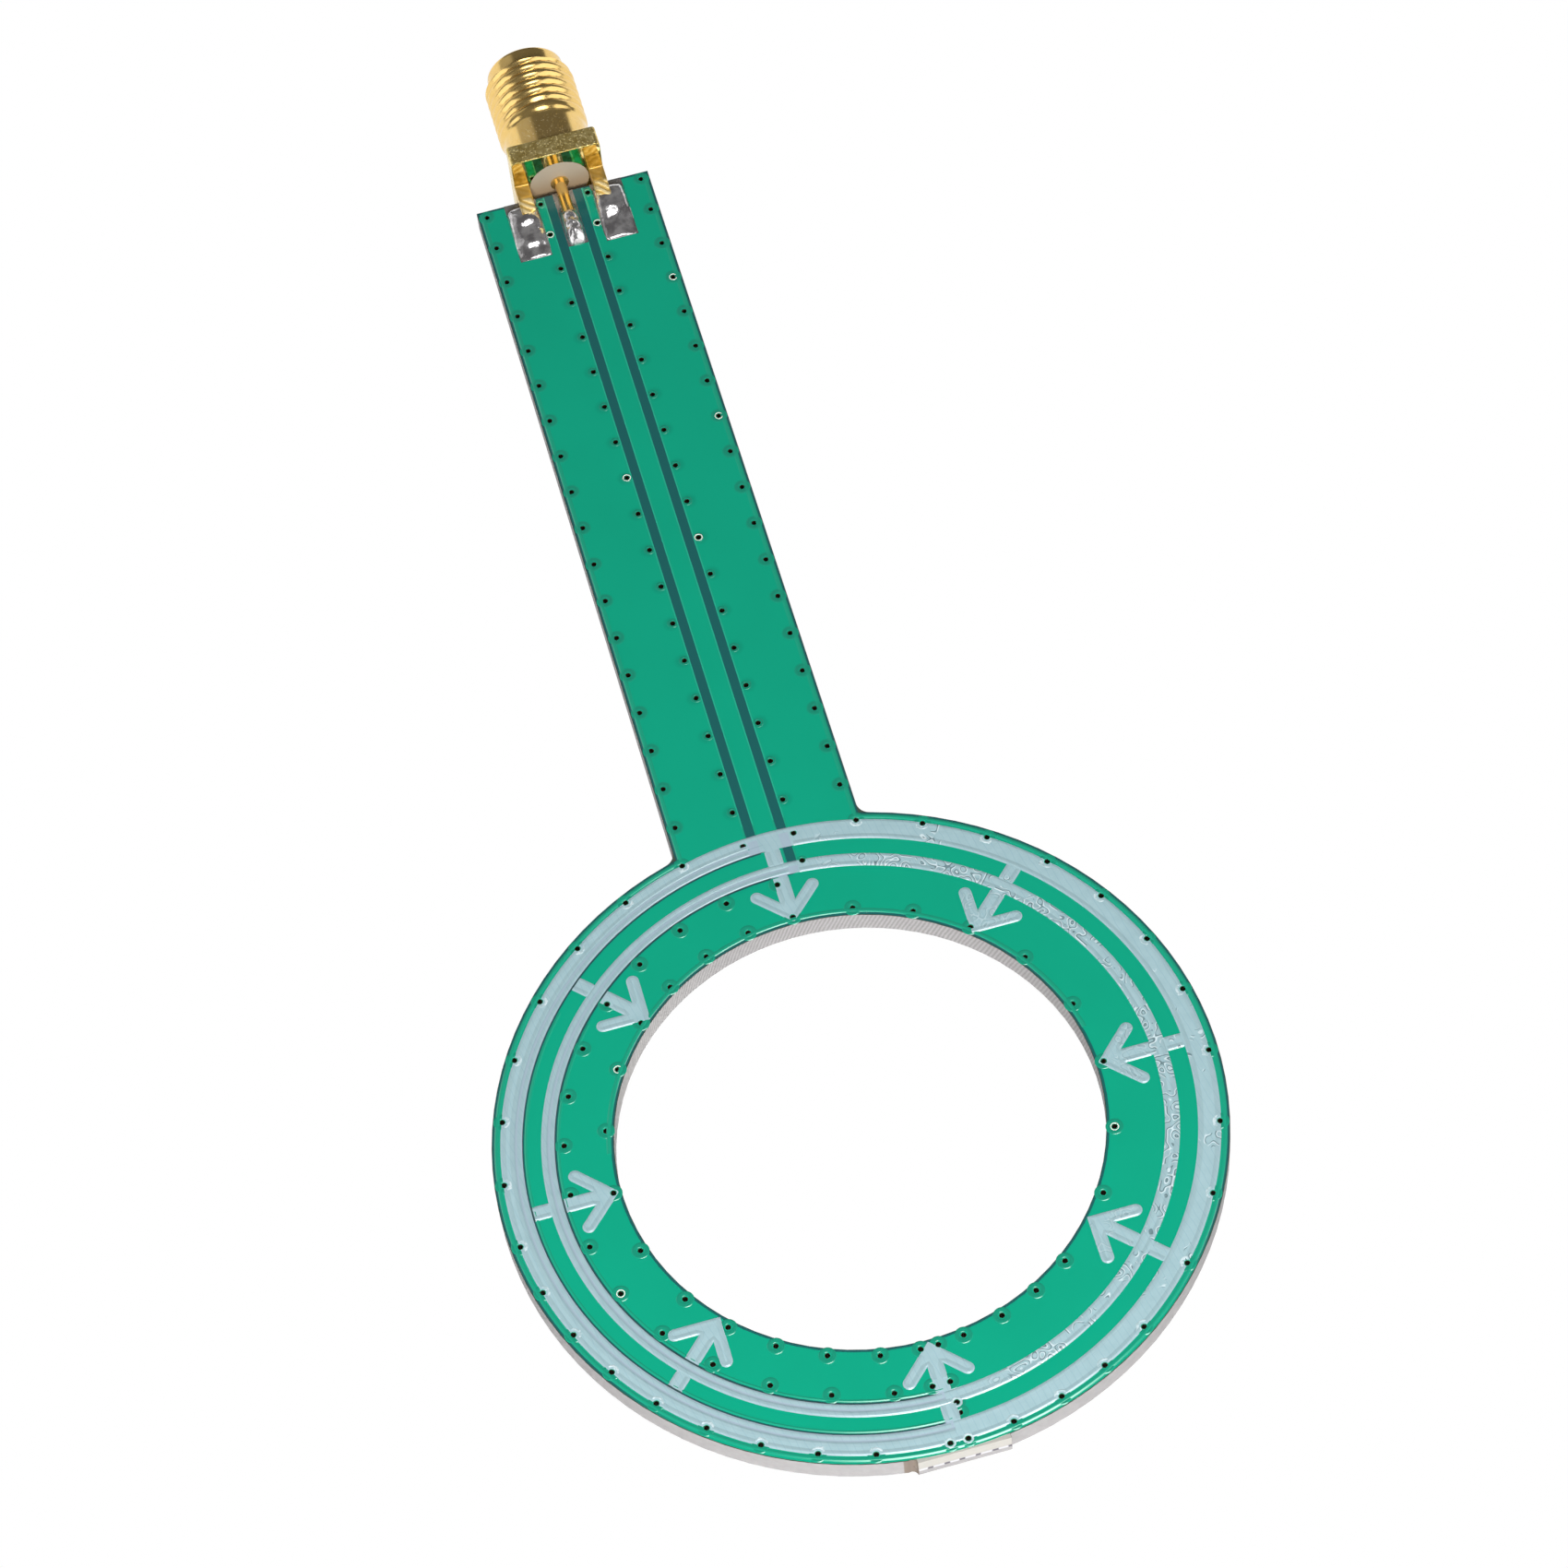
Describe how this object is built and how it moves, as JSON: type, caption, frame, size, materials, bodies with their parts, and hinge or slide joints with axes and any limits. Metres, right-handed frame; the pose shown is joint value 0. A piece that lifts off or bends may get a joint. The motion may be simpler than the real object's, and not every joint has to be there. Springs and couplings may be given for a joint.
{
  "type": "near field probe",
  "caption": "Flat circuit-board loop probe for near magnetic fields: an open ring on a straight handle with printed inward arrows, and a coaxial edge jack soldered to the handle's end",
  "frame": {"origin": "centre of the loop's window, on the laminate's mid-plane", "axes": "+X to the right across the handle, +Y along the handle from the loop to the jack, +Z out of the printed face"},
  "size_m": [0.045, 0.1085, 0.0062],
  "materials": {
    "laminate": "sawn glass-epoxy",
    "copper": "etched copper foil",
    "solder_mask": "glossy green solder mask",
    "legend_ink": "pale printed ink",
    "gold_plate": "gold plating",
    "insulator": "white fluoropolymer",
    "solder": "bright solder"
  },
  "bodies": {
    "root": {"board": "laminate", "top_copper": "copper", "bottom_copper": "copper", "via_plating": "copper", "top_mask": "solder_mask", "bottom_mask": "solder_mask", "legend": "legend_ink", "jack_body": "gold_plate", "jack_dielectric": "insulator", "jack_contact": "gold_plate", "solder_signal": "solder", "solder_left": "solder", "solder_right": "solder", "solder_left_under": "solder", "solder_right_under": "solder"}
  },
  "joints": []
}
